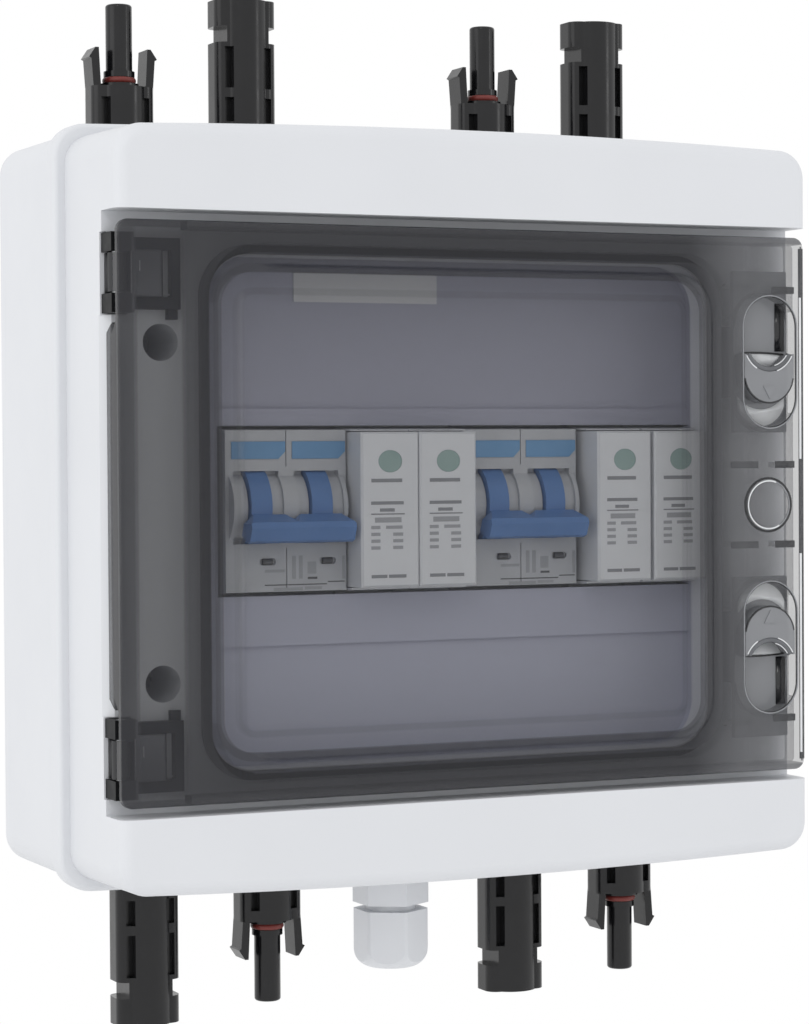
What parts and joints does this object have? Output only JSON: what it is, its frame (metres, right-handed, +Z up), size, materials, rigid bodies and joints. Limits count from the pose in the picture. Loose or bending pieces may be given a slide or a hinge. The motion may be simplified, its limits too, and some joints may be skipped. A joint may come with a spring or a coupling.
{
  "type": "pv_junction_box",
  "caption": "White wall-mounted solar string junction box with smoked hinged door, rail-mounted breakers and surge arresters, and male and female plugs at both ends",
  "frame": {"origin": "centre of the flat back face of the box, where it meets the wall", "axes": "+X to the right seen from the front, +Y into the wall, +Z up"},
  "size_m": [0.215, 0.1, 0.289],
  "materials": {
    "white_housing": "matte",
    "smoked_plastic": "gloss",
    "black_plastic": "satin",
    "grey_case": "satin",
    "off_white_case": "satin",
    "blue_plastic": "satin",
    "green_lens": "gloss",
    "sticker": "satin",
    "zinc_steel": "satin",
    "dark_steel": "satin",
    "tinned_metal": "satin",
    "grey_rubber": "matte",
    "dark_rubber": "matte",
    "red_rubber": "satin"
  },
  "bodies": {
    "box": {"back_box": "white_housing", "front_cover": "white_housing", "cover_seal": "grey_rubber", "cover_screws": "dark_steel", "hinge_bracket_upper": "black_plastic", "hinge_bracket_lower": "black_plastic", "hinge_pins": "zinc_steel", "label": "sticker", "din_rail": "zinc_steel", "rail_screws": "zinc_steel", "breaker_1_case": "grey_case", "breaker_1_tabs": "blue_plastic", "breaker_2_case": "grey_case", "breaker_2_tabs": "blue_plastic", "breaker_screws": "zinc_steel", "arrester_1_base": "off_white_case", "arrester_2_base": "off_white_case", "arrester_3_base": "off_white_case", "arrester_4_base": "off_white_case", "arrester_screws": "zinc_steel", "top_plug_1_male": "black_plastic", "top_plug_2_female": "black_plastic", "top_plug_3_male": "black_plastic", "top_plug_4_female": "black_plastic", "bottom_plug_1_female": "black_plastic", "bottom_plug_2_male": "black_plastic", "bottom_plug_3_female": "black_plastic", "bottom_plug_4_male": "black_plastic", "orings": "red_rubber", "male_contacts": "tinned_metal", "female_contacts": "tinned_metal", "panel_nuts": "black_plastic", "panel_washers": "dark_rubber", "gland_body": "white_housing", "gland_insert": "grey_rubber", "gland_washer": "grey_rubber", "gland_locknut": "white_housing"},
    "door_leaf": {"door": "smoked_plastic", "door_seal": "dark_rubber"},
    "upper_latch": {"latch_upper": "smoked_plastic"},
    "lower_latch": {"latch_lower": "smoked_plastic"},
    "toggle_1": {"breaker_1_toggle": "blue_plastic"},
    "toggle_2": {"breaker_2_toggle": "blue_plastic"},
    "dome_nut": {"gland_nut": "white_housing"},
    "cartridge_1": {"arrester_1_cartridge": "off_white_case", "arrester_1_window": "green_lens"},
    "cartridge_2": {"arrester_2_cartridge": "off_white_case", "arrester_2_window": "green_lens"},
    "cartridge_3": {"arrester_3_cartridge": "off_white_case", "arrester_3_window": "green_lens"},
    "cartridge_4": {"arrester_4_cartridge": "off_white_case", "arrester_4_window": "green_lens"}
  },
  "joints": [
    {"name": "door_hinge", "type": "hinge", "parent": "box", "child": "door_leaf", "pos_m": [-0.1012, -0.092, -0.001], "axis": [0, 0, -1], "range_deg": [0, 120]},
    {"name": "upper_latch_slide", "type": "slide", "parent": "door_leaf", "child": "upper_latch", "axis": [0, 0, -1], "range_m": [0, 0.006]},
    {"name": "lower_latch_slide", "type": "slide", "parent": "door_leaf", "child": "lower_latch", "axis": [0, 0, 1], "range_m": [0, 0.006]},
    {"name": "breaker_1_toggle_turn", "type": "hinge", "parent": "box", "child": "toggle_1", "pos_m": [-0.0494, -0.073, 0], "axis": [-1, 0, 0], "range_deg": [0, 48]},
    {"name": "breaker_2_toggle_turn", "type": "hinge", "parent": "box", "child": "toggle_2", "pos_m": [0.0217, -0.073, 0], "axis": [-1, 0, 0], "range_deg": [0, 48]},
    {"name": "cartridge_1_pull", "type": "slide", "parent": "box", "child": "cartridge_1", "axis": [0, -1, 0], "range_m": [0, 0.007]},
    {"name": "cartridge_2_pull", "type": "slide", "parent": "box", "child": "cartridge_2", "axis": [0, -1, 0], "range_m": [0, 0.007]},
    {"name": "cartridge_3_pull", "type": "slide", "parent": "box", "child": "cartridge_3", "axis": [0, -1, 0], "range_m": [0, 0.007]},
    {"name": "cartridge_4_pull", "type": "slide", "parent": "box", "child": "cartridge_4", "axis": [0, -1, 0], "range_m": [0, 0.007]},
    {"name": "dome_nut_turn", "type": "hinge", "parent": "box", "child": "dome_nut", "pos_m": [0, -0.038, -0.12], "axis": [0, 0, -1], "continuous": true}
  ]
}
